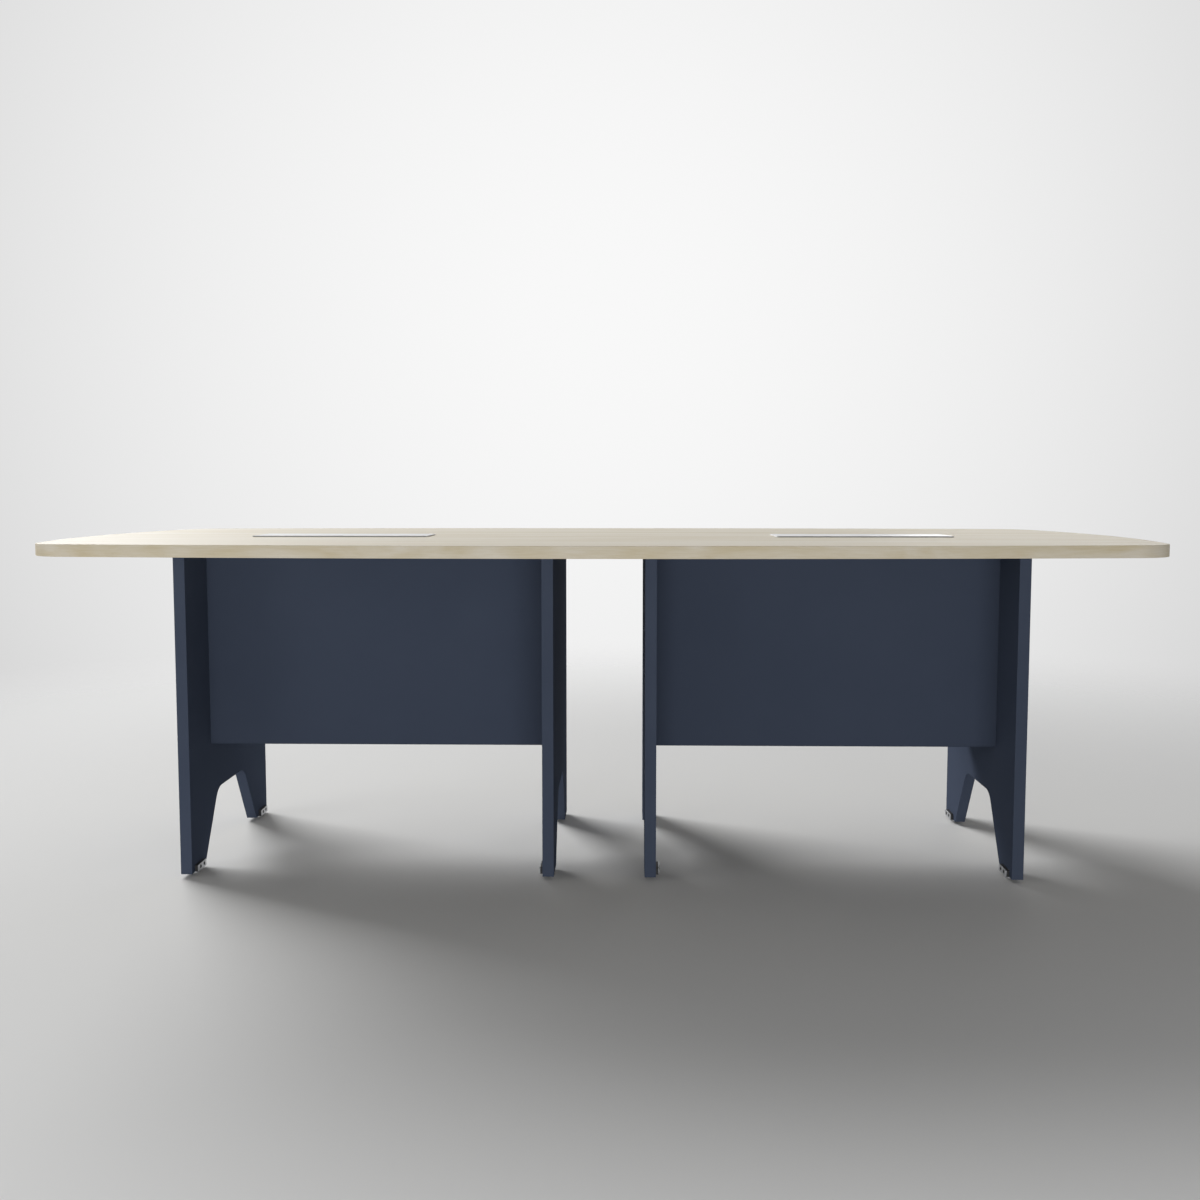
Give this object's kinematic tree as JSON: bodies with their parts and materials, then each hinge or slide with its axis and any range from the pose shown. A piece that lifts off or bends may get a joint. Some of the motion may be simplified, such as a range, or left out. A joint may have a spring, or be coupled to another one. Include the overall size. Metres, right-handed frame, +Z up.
{
  "type": "conference table",
  "caption": "Conference table with a bowed maple top on two navy slab bases, hinged cable flaps in the top and levelling feet under the arched end panels.",
  "frame": {"origin": "on the floor below the middle of the table top", "axes": "+X along the table to the right of the picture, +Y from the pictured side to the far side, +Z up"},
  "size_m": [2.3998, 1.2, 0.7528],
  "materials": {
    "maple_board": "pale maple melamine, satin",
    "maple_edging": "grained maple edging, satin",
    "navy_board": "navy melamine, matt",
    "navy_edging": "navy edging, matt",
    "white_metal": "white powder coat, satin",
    "zinc_steel": "zinc plated",
    "black_plastic": "matt moulded"
  },
  "bodies": {
    "table": {"tabletop": "maple_board", "tabletop_edge_band": "maple_edging", "left_outer_panel": "navy_board", "left_inner_panel": "navy_board", "right_inner_panel": "navy_board", "right_outer_panel": "navy_board", "left_outer_panel_edge_band": "navy_edging", "left_inner_panel_edge_band": "navy_edging", "right_inner_panel_edge_band": "navy_edging", "right_outer_panel_edge_band": "navy_edging", "left_front_modesty_panel": "navy_board", "left_rear_modesty_panel": "navy_board", "right_front_modesty_panel": "navy_board", "right_rear_modesty_panel": "navy_board", "left_front_modesty_edge_band": "navy_edging", "left_rear_modesty_edge_band": "navy_edging", "right_front_modesty_edge_band": "navy_edging", "right_rear_modesty_edge_band": "navy_edging", "left_outer_front_leveller_housing": "black_plastic", "left_outer_rear_leveller_housing": "black_plastic", "left_inner_front_leveller_housing": "black_plastic", "left_inner_rear_leveller_housing": "black_plastic", "right_inner_front_leveller_housing": "black_plastic", "right_inner_rear_leveller_housing": "black_plastic", "right_outer_front_leveller_housing": "black_plastic", "right_outer_rear_leveller_housing": "black_plastic", "left_outer_front_leveller_plate": "zinc_steel", "left_outer_rear_leveller_plate": "zinc_steel", "left_inner_front_leveller_plate": "zinc_steel", "left_inner_rear_leveller_plate": "zinc_steel", "right_inner_front_leveller_plate": "zinc_steel", "right_inner_rear_leveller_plate": "zinc_steel", "right_outer_front_leveller_plate": "zinc_steel", "right_outer_rear_leveller_plate": "zinc_steel", "left_outer_front_top_bracket": "zinc_steel", "left_outer_rear_top_bracket": "zinc_steel", "left_inner_front_top_bracket": "zinc_steel", "left_inner_rear_top_bracket": "zinc_steel", "right_inner_front_top_bracket": "zinc_steel", "right_inner_rear_top_bracket": "zinc_steel", "right_outer_front_top_bracket": "zinc_steel", "right_outer_rear_top_bracket": "zinc_steel", "left_flap_frame": "white_metal", "left_flap_outer_pin": "zinc_steel", "left_flap_inner_pin": "zinc_steel", "right_flap_frame": "white_metal", "right_flap_outer_pin": "zinc_steel", "right_flap_inner_pin": "zinc_steel"},
    "left_flap": {"left_flap_lid": "white_metal"},
    "right_flap": {"right_flap_lid": "white_metal"},
    "left_outer_front_foot": {"left_outer_front_levelling_foot": "zinc_steel"},
    "left_outer_rear_foot": {"left_outer_rear_levelling_foot": "zinc_steel"},
    "left_inner_front_foot": {"left_inner_front_levelling_foot": "zinc_steel"},
    "left_inner_rear_foot": {"left_inner_rear_levelling_foot": "zinc_steel"},
    "right_inner_front_foot": {"right_inner_front_levelling_foot": "zinc_steel"},
    "right_inner_rear_foot": {"right_inner_rear_levelling_foot": "zinc_steel"},
    "right_outer_front_foot": {"right_outer_front_levelling_foot": "zinc_steel"},
    "right_outer_rear_foot": {"right_outer_rear_levelling_foot": "zinc_steel"}
  },
  "joints": [
    {"name": "left_flap_hinge", "type": "hinge", "parent": "table", "child": "left_flap", "pos_m": [-0.604, 0.00434, 0.7468], "axis": [-1, 0, 0], "range_deg": [0, 100]},
    {"name": "right_flap_hinge", "type": "hinge", "parent": "table", "child": "right_flap", "pos_m": [0.604, 0.00434, 0.7468], "axis": [-1, 0, 0], "range_deg": [0, 100]},
    {"name": "left_outer_front_foot_screw", "type": "slide", "parent": "table", "child": "left_outer_front_foot", "axis": [0, 0, -1], "range_m": [0, 0.01]},
    {"name": "left_outer_rear_foot_screw", "type": "slide", "parent": "table", "child": "left_outer_rear_foot", "axis": [0, 0, -1], "range_m": [0, 0.01]},
    {"name": "left_inner_front_foot_screw", "type": "slide", "parent": "table", "child": "left_inner_front_foot", "axis": [0, 0, -1], "range_m": [0, 0.01]},
    {"name": "left_inner_rear_foot_screw", "type": "slide", "parent": "table", "child": "left_inner_rear_foot", "axis": [0, 0, -1], "range_m": [0, 0.01]},
    {"name": "right_inner_front_foot_screw", "type": "slide", "parent": "table", "child": "right_inner_front_foot", "axis": [0, 0, -1], "range_m": [0, 0.01]},
    {"name": "right_inner_rear_foot_screw", "type": "slide", "parent": "table", "child": "right_inner_rear_foot", "axis": [0, 0, -1], "range_m": [0, 0.01]},
    {"name": "right_outer_front_foot_screw", "type": "slide", "parent": "table", "child": "right_outer_front_foot", "axis": [0, 0, -1], "range_m": [0, 0.01]},
    {"name": "right_outer_rear_foot_screw", "type": "slide", "parent": "table", "child": "right_outer_rear_foot", "axis": [0, 0, -1], "range_m": [0, 0.01]}
  ]
}
